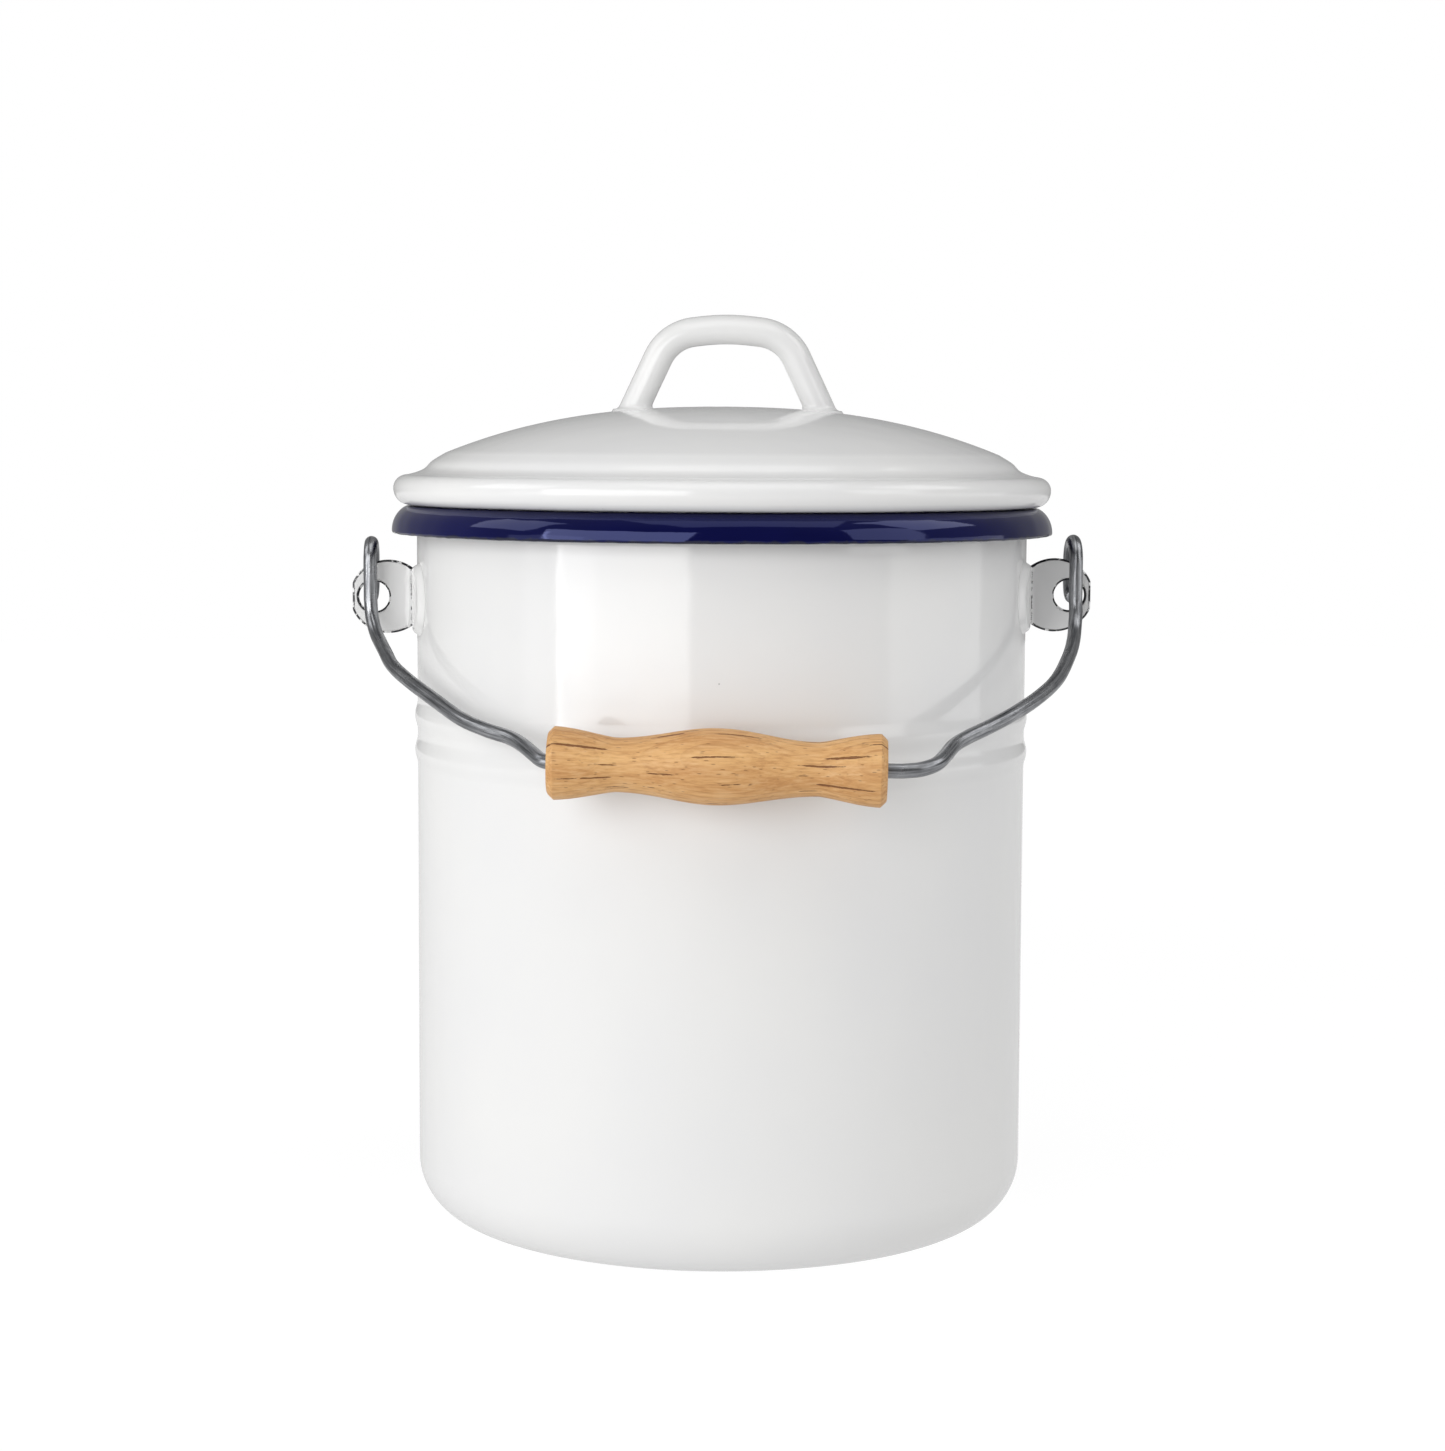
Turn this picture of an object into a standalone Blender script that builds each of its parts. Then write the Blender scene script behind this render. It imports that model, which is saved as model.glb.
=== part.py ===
"""Enamelled milk pail with a wire bail, a turned wooden grip and a lift-off lid.

The pail stands on z = 0 with its axis on Z. Its ears are on +X and -X and the bail rests
against the front of the can, towards -Y. All lengths are in metres.
"""

import math

import bmesh
import bpy
from mathutils import Vector

MM = 0.001
GAP = 0.3 * MM  # kept between pieces that touch
SIDES = 48  # facets round every large turned piece

# Can
BODY_RADIUS = 90 * MM
SHEET = 1.2 * MM
BASE_CORNER = 17.5 * MM
WALL_TOP = 202.9 * MM
BEAD_CENTRES = (149.4 * MM, 139.2 * MM)
BEAD_HEIGHT = 0.8 * MM
BEAD_HALF_WIDTH = 4.5 * MM

# Rolled rim of the can
RIM_RADIUS = 97.4 * MM
RIM_EDGE = 203.6 * MM
RIM_TOP = 211.1 * MM
RIM_CREST = 91.5 * MM  # radius where the rim is highest

# Lid
DOME_TOP = 240.2 * MM
DOME_RADIUS = 83.3 * MM
DOME_SAG = 14.5 * MM
DOME_POWER = 2.4  # the crown is flatter than a ball and steeper at its edge
LID_ROLL_CENTRE = (92.7 * MM, 216.1 * MM)
LID_ROLL_WIDTH = 4.2 * MM
LID_ROLL_RISE = 3.9 * MM
LID_ROLL_DROP = 4.8 * MM
COLLAR_RADIUS = 87.2 * MM
COLLAR_TOP = 219.2 * MM
COLLAR_BOTTOM = 199.5 * MM
COLLAR_SHEET = 1.0 * MM

# Lid handle: a channel that is open towards the lid
HANDLE_SHIFT = 1.4 * MM
HANDLE_FOOT = 28.5 * MM
HANDLE_FOOT_Z = 236.5 * MM
HANDLE_SHOULDER = (17.0 * MM, 260.9 * MM)
HANDLE_CROWN_Z = 262.9 * MM
HANDLE_RADII = (13 * MM, 60 * MM, 13 * MM)  # shoulder, crown, shoulder
HANDLE_DEPTH = 9.4 * MM
HANDLE_WIDTH = 15.0 * MM
HANDLE_CORNER = 4.2 * MM
HANDLE_SHEET = 1.4 * MM

# Ears
EAR_SHEET = 1.5 * MM
EAR_Z = 184.4 * MM
EAR_LEAN = 0.7 * MM  # the right ear sits this much higher than EAR_Z, and the left ear lower
EAR_CENTRE = 98.9 * MM
EAR_HALF_LENGTH = 11.5 * MM
EAR_HALF_HEIGHT = 10.9 * MM
EAR_CUT = 10.7 * MM  # the outer end is cut straight this far from the disc's centre
EAR_NECK = 8.4 * MM
EAR_BEND = 2.5 * MM
EAR_PAD_CENTRE = 18.8 * MM  # along the wall, from the fold
EAR_PAD_RADIUS = 10.9 * MM
EAR_HOLE_X = 103.2 * MM
EAR_HOLE_RADIUS = 4.5 * MM

# Bail: hooked loops that ride on the ears' bridges, and an arch that lies against the can
WIRE_RADIUS = 2.0 * MM
PIVOT_Z = 191.9 * MM  # halfway between the ears
LOOP_HALF_WIDTH = 5.6 * MM
LOOP_ABOVE = 8.4 * MM
LOOP_BELOW = 7.9 * MM
TIP_LENGTH = 1.4 * MM
TIP_X = {-1: -104.2 * MM, 1: 104.0 * MM}  # by side; the loops differ a little
ARM_START_Z = 183.8 * MM
ARM_BEND = 12.0 * MM
ARM_TURN = math.radians(71.8)
# How much higher or lower than its plane the wire runs at some places across the can: x, lift.
ARM_LEAN = ((-104.2, -0.7), (-60.0, 0.1), (-46.0, 0.5), (46.0, -0.15), (104.2, 0.7))
# The arms run from ear to grip: x, and the distance along the arm below its start.
RIGHT_ARM = (
    (104.6, 0.0), (104.5, 6.0), (102.8, 18.0), (100.0, 30.6), (95.1, 46.6), (88.4, 59.5),
    (80.6, 70.6), (73.7, 78.8), (66.9, 86.1), (62.9, 91.6), (60.2, 98.0), (57.4, 103.5),
    (53.0, 106.8), (48.0, 107.75),
)
LEFT_ARM = (
    (-103.7, 0.0), (-103.0, 6.0), (-100.1, 16.0), (-97.6, 24.5), (-94.2, 35.5), (-88.1, 47.5),
    (-79.0, 62.5), (-71.5, 74.4), (-64.2, 82.1), (-57.6, 87.4), (-53.6, 92.6), (-50.2, 98.9),
    (-47.5, 103.45), (-44.2, 105.05),
)

# Grip
GRIP_LENGTH = 90.2 * MM
GRIP_CENTRE = (-0.9 * MM, 106.35 * MM)  # x, and the distance along the arm
GRIP_TILT = math.radians(1.65)
GRIP_END = 9.8 * MM
GRIP_NECK = 7.25 * MM
GRIP_NECK_AT = 26.9 * MM
GRIP_BULGE = 10.2 * MM
GRIP_CHAMFER = 1.7 * MM
GRIP_BORE = 2.4 * MM
GRIP_MOUTH = 3.5 * MM
GRIP_MOUTH_DEPTH = 5.0 * MM


def clear_scene():
    for obj in list(bpy.data.objects):
        bpy.data.objects.remove(obj, do_unlink=True)


def new_collection(name):
    collection = bpy.data.collections.new(name)
    bpy.context.scene.collection.children.link(collection)
    return collection


def new_material(name, colour, roughness, metallic=0.0):
    material = bpy.data.materials.new(name)
    material.use_nodes = True
    shader = material.node_tree.nodes["Principled BSDF"]
    shader.inputs["Base Color"].default_value = (*colour, 1.0)
    shader.inputs["Roughness"].default_value = roughness
    shader.inputs["Metallic"].default_value = metallic
    material.diffuse_color = (*colour, 1.0)
    return material


def place(obj, collection, material=None):
    collection.objects.link(obj)
    if material:
        obj.data.materials.append(material)
    return obj


def arc(centre, radius, start, end, steps):
    """Points on an arc, or on part of an ellipse where radius is a pair, in degrees."""
    across, along = radius if isinstance(radius, tuple) else (radius, radius)
    points = []
    for step in range(steps + 1):
        angle = math.radians(start + (end - start) * step / steps)
        points.append((centre[0] + across * math.cos(angle), centre[1] + along * math.sin(angle)))
    return points


def rounded_path(corners, radii, steps):
    """A path through the corners, with each inner corner replaced by an arc of its radius."""
    path = [corners[0]]
    for before, corner, after, radius in zip(corners, corners[1:], corners[2:], radii):
        corner = Vector(corner)
        back = (Vector(before) - corner).normalized()
        ahead = (Vector(after) - corner).normalized()
        half = back.angle(ahead) / 2
        centre = corner + (back + ahead).normalized() * radius / math.sin(half)
        start = corner + back * radius / math.tan(half) - centre
        turn = (corner + ahead * radius / math.tan(half) - centre).angle_signed(start)
        for step in range(steps + 1):
            angle = turn * step / steps
            cos, sin = math.cos(angle), math.sin(angle)
            path.append((
                centre.x + start.x * cos - start.y * sin,
                centre.y + start.x * sin + start.y * cos,
            ))
    path.append(corners[-1])
    return path


def smooth_path(points, steps):
    """A Catmull-Rom curve through the points."""
    ends = [Vector(point) for point in points]
    ends = [2 * ends[0] - ends[1], *ends, 2 * ends[-1] - ends[-2]]
    path = []
    for a, b, c, d in zip(ends, ends[1:], ends[2:], ends[3:]):
        for step in range(steps):
            t = step / steps
            path.append(
                0.5 * (2 * b + (c - a) * t + (2 * a - 5 * b + 4 * c - d) * t**2
                       + (3 * b - a - 3 * c + d) * t**3)
            )
    path.append(ends[-2])
    return path


def turned(name, profile, sides, closed=False):
    """A profile of (radius, height) points turned about Z. It runs down its outer side."""
    mesh = bpy.data.meshes.new(name)
    edges = [(i, i + 1) for i in range(len(profile) - 1)]
    if closed:
        edges.append((len(profile) - 1, 0))
    mesh.from_pydata([(radius, 0, height) for radius, height in profile], edges, [])
    obj = bpy.data.objects.new(name, mesh)
    screw = obj.modifiers.new("Turn", "SCREW")
    screw.steps = screw.render_steps = sides
    screw.use_merge_vertices = True
    screw.merge_threshold = 0.00001
    screw.use_smooth_shade = True
    return obj


def thicken(obj, thickness, offset):
    solidify = obj.modifiers.new("Sheet", "SOLIDIFY")
    solidify.thickness = thickness
    solidify.offset = offset
    solidify.use_even_offset = True


def cut(obj, cutter):
    boolean = obj.modifiers.new("Cut " + cutter.name, "BOOLEAN")
    boolean.object = cutter
    boolean.operation = "DIFFERENCE"
    boolean.solver = "EXACT"


def hide_cutter(obj, cutters):
    place(obj, cutters)
    obj.hide_render = True
    obj.display_type = "WIRE"
    return obj


def bead_points(centre):
    points = []
    for step in range(-2, 3):
        offset = step / 2
        bulge = BEAD_HEIGHT * math.cos(offset * math.pi / 2) ** 2
        points.append((BODY_RADIUS + bulge, centre - offset * BEAD_HALF_WIDTH))
    return points


def body_shell(parts, enamel):
    profile = [(BODY_RADIUS, WALL_TOP)]
    for centre in BEAD_CENTRES:
        profile += bead_points(centre)
    corner = (BODY_RADIUS - BASE_CORNER, BASE_CORNER)
    profile += arc(corner, BASE_CORNER, 0, -90, 5)
    profile.append((0, 0))
    shell = place(turned("body_shell", profile, SIDES), parts, enamel)
    thicken(shell, SHEET, -1)
    return shell


def rolled_rim(parts, enamel):
    inner = BODY_RADIUS - SHEET
    crest = (RIM_CREST, RIM_EDGE)
    lip = (inner + 2.2 * MM, RIM_TOP - 2.2 * MM)
    profile = [(inner, WALL_TOP + GAP)]
    profile += arc(lip, 2.2 * MM, 180, 90, 2)
    profile += arc(crest, (RIM_RADIUS - RIM_CREST, RIM_TOP - RIM_EDGE), 90, 0, 5)
    rim = place(turned("rolled_rim", profile, SIDES), parts, enamel)
    thicken(rim, SHEET, -1)
    return rim


def dome_height(radius):
    return DOME_TOP - DOME_SAG * (radius / DOME_RADIUS) ** DOME_POWER


def lid_shell(parts, enamel):
    profile = []
    for step in range(6):
        radius = DOME_RADIUS * (step / 5) ** 0.7
        profile.append((radius, dome_height(radius)))
    profile += [(85.5 * MM, 224.0 * MM), (87.6 * MM, 221.9 * MM)]
    upper = (LID_ROLL_WIDTH, LID_ROLL_RISE)
    lower = (LID_ROLL_WIDTH, LID_ROLL_DROP)
    profile += arc(LID_ROLL_CENTRE, upper, 90, 0, 3)
    profile += arc(LID_ROLL_CENTRE, lower, 0, -105, 4)[1:]
    shell = place(turned("lid_shell", profile, SIDES), parts, enamel)
    thicken(shell, SHEET, -1)
    return shell


def lid_collar(parts, enamel):
    hem = (COLLAR_RADIUS - 2.5 * MM, COLLAR_BOTTOM + 2.5 * MM)
    profile = [(COLLAR_RADIUS, COLLAR_TOP)]
    profile += arc(hem, 2.5 * MM, 0, -90, 2)
    collar = place(turned("lid_collar", profile, SIDES), parts, enamel)
    thicken(collar, COLLAR_SHEET, -1)
    return collar


def channel_section(width, depth, corner, sheet):
    """Half-round-shouldered channel as (across, outwards) points, open at the inner side."""
    section = []
    for inset, reverse in ((0, False), (sheet, True)):
        half = width / 2 - inset
        top = depth / 2 - inset
        radius = corner - inset
        side = [(half, -depth / 2)]
        side += arc((half - radius, top - radius), radius, 0, 90, 3)
        side += [(-across, out) for across, out in reversed(side)]
        section += reversed(side) if reverse else side
    return section


def loft(name, rings):
    """A solid skin over closed rings of points, capped at both ends."""
    build = bmesh.new()
    loops = [[build.verts.new(point) for point in ring] for ring in rings]
    count = len(loops[0])
    for near, far in zip(loops, loops[1:]):
        for i in range(count):
            after = (i + 1) % count
            build.faces.new((near[i], near[after], far[after], far[i]))
    build.faces.new(reversed(loops[0]))
    build.faces.new(loops[-1])
    bmesh.ops.triangulate(build, faces=[face for face in build.faces if len(face.verts) > 4])
    bmesh.ops.recalc_face_normals(build, faces=build.faces)
    mesh = bpy.data.meshes.new(name)
    build.to_mesh(mesh)
    build.free()
    return bpy.data.objects.new(name, mesh)


def lid_handle(parts, cutters, enamel):
    foot = (HANDLE_FOOT, HANDLE_FOOT_Z)
    crown = (0, HANDLE_CROWN_Z)
    right = [crown, HANDLE_SHOULDER, foot]
    left = [(-x, z) for x, z in reversed(right[1:])]
    path = rounded_path(left + right, HANDLE_RADII, 5)
    section = channel_section(HANDLE_WIDTH, HANDLE_DEPTH, HANDLE_CORNER, HANDLE_SHEET)
    rings = []
    for i, (x, z) in enumerate(path):
        before, after = path[max(i - 1, 0)], path[min(i + 1, len(path) - 1)]
        along = Vector((after[0] - before[0], after[1] - before[1])).normalized()
        out_x, out_z = -along.y, along.x
        rings.append([
            (x + HANDLE_SHIFT + out * out_x, across, z + out * out_z) for across, out in section
        ])
    handle = place(loft("lid_handle", rings), parts, enamel)
    handle.data.shade_smooth()
    handle.data.set_sharp_from_angle(angle=math.radians(40))
    under_dome = [(0, dome_height(0) + GAP)]
    for radius in (15 * MM, 24 * MM, 32 * MM, 40 * MM):
        under_dome.append((radius, dome_height(radius) + GAP))
    under_dome += [(40 * MM, 225 * MM), (0, 225 * MM)]
    cut(handle, hide_cutter(turned("dome_cutter", under_dome, SIDES), cutters))
    return handle


def ear_half_height(along):
    """Half the ear's height, where along runs from the fold: out on the lug, negative on the wall."""
    if along >= 0:
        offset = along + BODY_RADIUS - EAR_CENTRE
        disc = EAR_HALF_HEIGHT * math.sqrt(max(0, 1 - (offset / EAR_HALF_LENGTH) ** 2))
    else:
        offset = -along - EAR_PAD_CENTRE
        disc = math.sqrt(max(0, EAR_PAD_RADIUS**2 - offset**2))
    on_neck = -EAR_PAD_CENTRE < along < EAR_CENTRE - BODY_RADIUS
    return max(disc, EAR_NECK) if on_neck else disc


def ear(name, side, parts, cutters, enamel):
    """A folded lug: a disc that stands out on the ear's side, and a disc against the wall."""
    centre_z = EAR_Z + side * EAR_LEAN
    reach = EAR_CENTRE + EAR_CUT - BODY_RADIUS
    wall = BODY_RADIUS + GAP + EAR_SHEET / 2
    fold_x = math.sqrt((wall + EAR_BEND) ** 2 - EAR_BEND**2)
    pad_end = EAR_PAD_CENTRE + EAR_PAD_RADIUS - 0.2 * MM
    lug = [reach * (1 - step / 12) for step in range(12)]
    lug = [along for along in lug if BODY_RADIUS + along > fold_x]
    stations = [(BODY_RADIUS + along, 0, along) for along in lug]
    for x, y in arc((fold_x, -EAR_BEND), EAR_BEND, 90, 178, 5):
        stations.append((x, y, 0))
    for step in range(1, 13):
        along = pad_end * math.sin(step / 12 * math.pi / 2)
        angle = max(along, 3 * MM) / wall
        stations.append((wall * math.cos(angle), -wall * math.sin(angle), -along))
    build = bmesh.new()
    columns = []
    for x, y, along in stations:
        half = ear_half_height(along)
        columns.append([build.verts.new((side * x, y, centre_z + z)) for z in (-half, half)])
    for near, far in zip(columns, columns[1:]):
        build.faces.new((near[0], near[1], far[1], far[0]))
    mesh = bpy.data.meshes.new(name)
    build.to_mesh(mesh)
    build.free()
    lug_plate = place(bpy.data.objects.new(name, mesh), parts, enamel)
    thicken(lug_plate, EAR_SHEET, 0)
    hole = [(EAR_HOLE_RADIUS, 6 * MM), (EAR_HOLE_RADIUS, -6 * MM), (0, -6 * MM)]
    cutter = hide_cutter(turned(name + "_hole", [(0, 6 * MM), *hole], 32), cutters)
    cutter.location = (side * EAR_HOLE_X, 0, centre_z)
    cutter.rotation_euler = (math.pi / 2, 0, 0)
    cut(lug_plate, cutter)
    return lug_plate


def lean(x):
    """How far the wire runs above its plane at x."""
    places = [(at * MM, lift * MM) for at, lift in ARM_LEAN]
    x = min(max(x, places[0][0]), places[-1][0])
    for (start, low), (end, high) in zip(places, places[1:]):
        if x <= end:
            return low + (high - low) * (x - start) / (end - start)


def arm_point(x, along):
    """A point of the bail at x, this far along an arm: down the strand, round the bend, then out."""
    bend_length = ARM_BEND * ARM_TURN
    front = -LOOP_HALF_WIDTH
    start_z = ARM_START_Z + lean(x)
    if along <= 0:
        return Vector((x, front, start_z - along))
    angle = min(along / ARM_BEND, ARM_TURN)
    y = front - ARM_BEND + ARM_BEND * math.cos(angle)
    z = start_z - ARM_BEND * math.sin(angle)
    straight = max(along - bend_length, 0)
    return Vector((x, y - straight * math.sin(ARM_TURN), z - straight * math.cos(ARM_TURN)))


def loop_points(side, front_x):
    """The hooked end, from its tip in the ear's hole, up behind the lug and over to the front."""
    low = (0, LOOP_HALF_WIDTH - LOOP_BELOW)
    high = (0, LOOP_ABOVE - LOOP_HALF_WIDTH)
    outline = [(-TIP_LENGTH, -LOOP_BELOW)]
    outline += arc(low, LOOP_HALF_WIDTH, -90, 0, 4)
    outline += arc(high, LOOP_HALF_WIDTH, 0, 180, 8)
    points = []
    for y, z in outline:
        blend = (LOOP_HALF_WIDTH - y) / (2 * LOOP_HALF_WIDTH) if z > high[1] else 0
        blend = 1 if (y, z) == outline[-1] else blend
        x = TIP_X[side] + (front_x - TIP_X[side]) * blend
        points.append(Vector((x, y, PIVOT_Z + lean(x) + z)))
    return points


def bail_points():
    """The wire's centre line, from the left tip to the right tip."""
    left_arm = smooth_path([(x * MM, along * MM, 0) for x, along in LEFT_ARM], 3)
    right_arm = smooth_path([(x * MM, along * MM, 0) for x, along in RIGHT_ARM], 3)
    points = loop_points(-1, left_arm[0].x)
    points += [arm_point(point.x, point.y) for point in left_arm]
    points += [arm_point(point.x, point.y) for point in reversed(right_arm)]
    points += reversed(loop_points(1, right_arm[0].x))
    return points


def bail_wire(parts, pivot, steel):
    curve = bpy.data.curves.new("bail_wire", "CURVE")
    curve.dimensions = "3D"
    curve.bevel_depth = WIRE_RADIUS
    curve.bevel_resolution = 2
    curve.use_fill_caps = True
    spline = curve.splines.new("POLY")
    points = bail_points()
    spline.points.add(len(points) - 1)
    for target, point in zip(spline.points, points):
        target.co = (*(point - pivot.location), 1)
        target.radius = 1
    spline.use_smooth = True
    wire = place(bpy.data.objects.new("bail_wire", curve), parts, steel)
    wire.parent = pivot
    return wire


def grip_radius(offset):
    """Radius of the grip's outer side: a bulge, a neck on each side and flared ends."""
    offset = abs(offset)
    if offset < GRIP_NECK_AT:
        blend = 0.5 + 0.5 * math.cos(math.pi * offset / GRIP_NECK_AT)
        return GRIP_NECK + (GRIP_BULGE - GRIP_NECK) * blend
    blend = (offset - GRIP_NECK_AT) / (GRIP_LENGTH / 2 - GRIP_NECK_AT)
    return GRIP_NECK + (GRIP_END - GRIP_NECK) * math.sin(blend * math.pi / 2) ** 1.3


def bail_grip(parts, pivot, wood):
    half = GRIP_LENGTH / 2
    shoulder = half - GRIP_CHAMFER
    outer = [(GRIP_END - GRIP_CHAMFER, half)]
    for step in range(15):
        offset = shoulder * (1 - step / 7)
        outer.append((grip_radius(offset), offset))
    outer.append((GRIP_END - GRIP_CHAMFER, -half))
    throat = half - GRIP_MOUTH_DEPTH
    bore = [(GRIP_MOUTH, -half), (GRIP_BORE, -throat), (GRIP_BORE, throat), (GRIP_MOUTH, half)]
    grip = place(turned("bail_grip", outer + bore, 24, closed=True), parts, wood)
    centre = arm_point(*GRIP_CENTRE)
    step = 20 * MM
    ahead = arm_point(GRIP_CENTRE[0] + step, GRIP_CENTRE[1] + step * math.tan(GRIP_TILT))
    grip.parent = pivot
    grip.location = centre - pivot.location
    grip.rotation_mode = "QUATERNION"
    grip.rotation_quaternion = (ahead - centre).to_track_quat("Z", "Y")
    return grip


def main():
    clear_scene()
    parts = new_collection("milk_pail")
    cutters = new_collection("cutters")
    white = new_material("white_enamel", (0.86, 0.87, 0.88), 0.12)
    blue = new_material("blue_enamel", (0.012, 0.012, 0.115), 0.1)
    steel = new_material("bare_steel_wire", (0.16, 0.17, 0.18), 0.38, 0.85)
    wood = new_material("grip_wood", (0.68, 0.42, 0.2), 0.55)

    body_shell(parts, white)
    rolled_rim(parts, blue)
    ear("ear_left", -1, parts, cutters, white)
    ear("ear_right", 1, parts, cutters, white)

    lid = bpy.data.objects.new("lid", None)
    place(lid, parts)
    for piece in (
        lid_shell(parts, white),
        lid_collar(parts, white),
        lid_handle(parts, cutters, white),
    ):
        piece.parent = lid

    bail = bpy.data.objects.new("bail_pivot", None)
    bail.location = (0, 0, PIVOT_Z)
    place(bail, parts)
    bail_wire(parts, bail, steel)
    bail_grip(parts, bail, wood)


main()
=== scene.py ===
"""Looks of the enamelled milk pail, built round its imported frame.

Lengths are in metres in the frame's own axes: +Z up, ears on +X and -X, front towards -Y.
"""

import math

import bpy
from mathutils import Matrix, Vector, noise


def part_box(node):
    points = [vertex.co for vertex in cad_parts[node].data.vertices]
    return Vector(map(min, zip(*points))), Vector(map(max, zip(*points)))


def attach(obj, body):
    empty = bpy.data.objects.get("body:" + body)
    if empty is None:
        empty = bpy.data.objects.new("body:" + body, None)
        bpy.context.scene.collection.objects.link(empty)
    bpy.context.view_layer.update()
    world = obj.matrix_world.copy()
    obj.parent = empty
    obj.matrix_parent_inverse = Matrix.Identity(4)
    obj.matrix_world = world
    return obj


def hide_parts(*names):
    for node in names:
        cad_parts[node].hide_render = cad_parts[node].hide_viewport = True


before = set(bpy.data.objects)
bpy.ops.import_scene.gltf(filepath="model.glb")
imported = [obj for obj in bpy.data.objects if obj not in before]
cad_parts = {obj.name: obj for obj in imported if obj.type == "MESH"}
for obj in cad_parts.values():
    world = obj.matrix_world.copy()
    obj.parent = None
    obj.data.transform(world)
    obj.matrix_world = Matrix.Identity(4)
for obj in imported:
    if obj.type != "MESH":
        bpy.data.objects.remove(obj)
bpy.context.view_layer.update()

MM = 0.001
ON_AXIS = 1e-7  # a radius under this counts as none
SIDES = 288  # facets round every turned piece
ROOM = (0.16, 0.30)  # what the room sends from behind the camera, and from everywhere else

# Can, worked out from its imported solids
BODY_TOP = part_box("body_shell")[1][2]
BEAD_HEIGHT = 0.8 * MM
BODY_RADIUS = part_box("body_shell")[1][0] - BEAD_HEIGHT
SHEET = 1.2 * MM
BASE_CORNER = 17.5 * MM
BEAD_CENTRES = (149.4 * MM, 139.2 * MM)
BEAD_HALF_WIDTH = 4.5 * MM

RIM_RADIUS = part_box("rolled_rim")[1][0]
RIM_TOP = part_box("rolled_rim")[1][2]
RIM_EDGE = 203.6 * MM
RIM_CREST = 91.5 * MM
RIM_LIP = 2.2 * MM
RIM_SEAT = 0.1 * MM

DOME_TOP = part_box("lid_shell")[1][2]
DOME_RADIUS = 83.3 * MM
DOME_SAG = 14.5 * MM
DOME_POWER = 2.4
LID_STEP = ((85.5 * MM, 224.0 * MM), (87.6 * MM, 221.9 * MM))
DOME_END = 81.0 * MM
STEP_START = 81.5 * MM
LID_HOLLOW = (90.0 * MM, 220.75 * MM)
LID_ROLL_CENTRE = (92.7 * MM, 216.1 * MM)
LID_ROLL_WIDTH = 4.2 * MM
LID_ROLL_RISE = 3.9 * MM
LID_ROLL_DROP = 4.8 * MM
COLLAR_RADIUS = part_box("lid_collar")[1][0]
COLLAR_LOW, COLLAR_HIGH = (corner[2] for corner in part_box("lid_collar"))
COLLAR_SHEET = 1.0 * MM
COLLAR_HEM = 2.5 * MM

HANDLE_SHIFT = 1.4 * MM
HANDLE_FOOT = (28.5 * MM, 236.5 * MM)
HANDLE_SHOULDER = (17.0 * MM, 260.9 * MM)
HANDLE_CROWN_Z = 262.9 * MM
HANDLE_RADII = (13 * MM, 60 * MM, 13 * MM)
HANDLE_HALF_DEPTH = 4.7 * MM
HANDLE_HALF_WIDTH = 6.5 * MM
HANDLE_SHEET = 1.4 * MM
HANDLE_SLOT = 35  # half the opening on the handle's inner side, in degrees
HANDLE_SHARP = math.radians(60)
FOOT_FILLET = 1.8 * MM
FOOT_SINK = 0.08 * MM  # the feet end this far inside the dome
FOOT_STEPS = 18

EAR_SHEET = 1.5 * MM
EAR_EDGE = 0.55 * MM
EAR_Z = 184.4 * MM
EAR_LEAN = 0.7 * MM  # the right ear sits this much higher than EAR_Z, and the left ear lower
EAR_CENTRE = 98.9 * MM
EAR_HALF_LENGTH = 11.5 * MM
EAR_HALF_HEIGHT = 10.9 * MM
EAR_CUT = 10.7 * MM
EAR_NECK = 8.4 * MM
EAR_BEND = 2.5 * MM
EAR_PAD_CENTRE = 18.8 * MM
EAR_PAD_RADIUS = 10.9 * MM
EAR_PAD_THIN = 0.12  # how much of the wall disc's thickness is left at its edge
EAR_PAD_RAMP = 4.5 * MM
EAR_GAP = 0.3 * MM
EAR_SEAM = 0.33 * MM  # the enamel closes the gap between the wall disc and the can
EAR_FOLD_SHADE = (2.1 * MM, 2.9 * MM)  # painted shade line along the fold, measured from where the fold starts
EAR_RAYS = 176
EAR_STEPS = 56
EAR_INSET = 0.15 * MM
EAR_HOLE_X = 103.2 * MM
EAR_HOLE_RADIUS = 4.5 * MM

WIRE_RADIUS = 2.0 * MM
PIVOT_Z = 191.9 * MM
LOOP_HALF_WIDTH = 5.6 * MM
LOOP_ABOVE = 8.4 * MM
LOOP_BELOW = 7.9 * MM
TIP_LENGTH = 1.4 * MM
TIP_ROUNDING = ((0.55, 0.35 * MM), (0.86, 0.245 * MM))  # share of the radius, distance beyond
WIRE_SIDES = 28
TIP_X = {-1: -104.2 * MM, 1: 104.0 * MM}  # by side; the loops differ a little
ARM_START_Z = 183.8 * MM
ARM_BEND = 12.0 * MM
ARM_TURN = math.radians(71.8)
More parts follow.
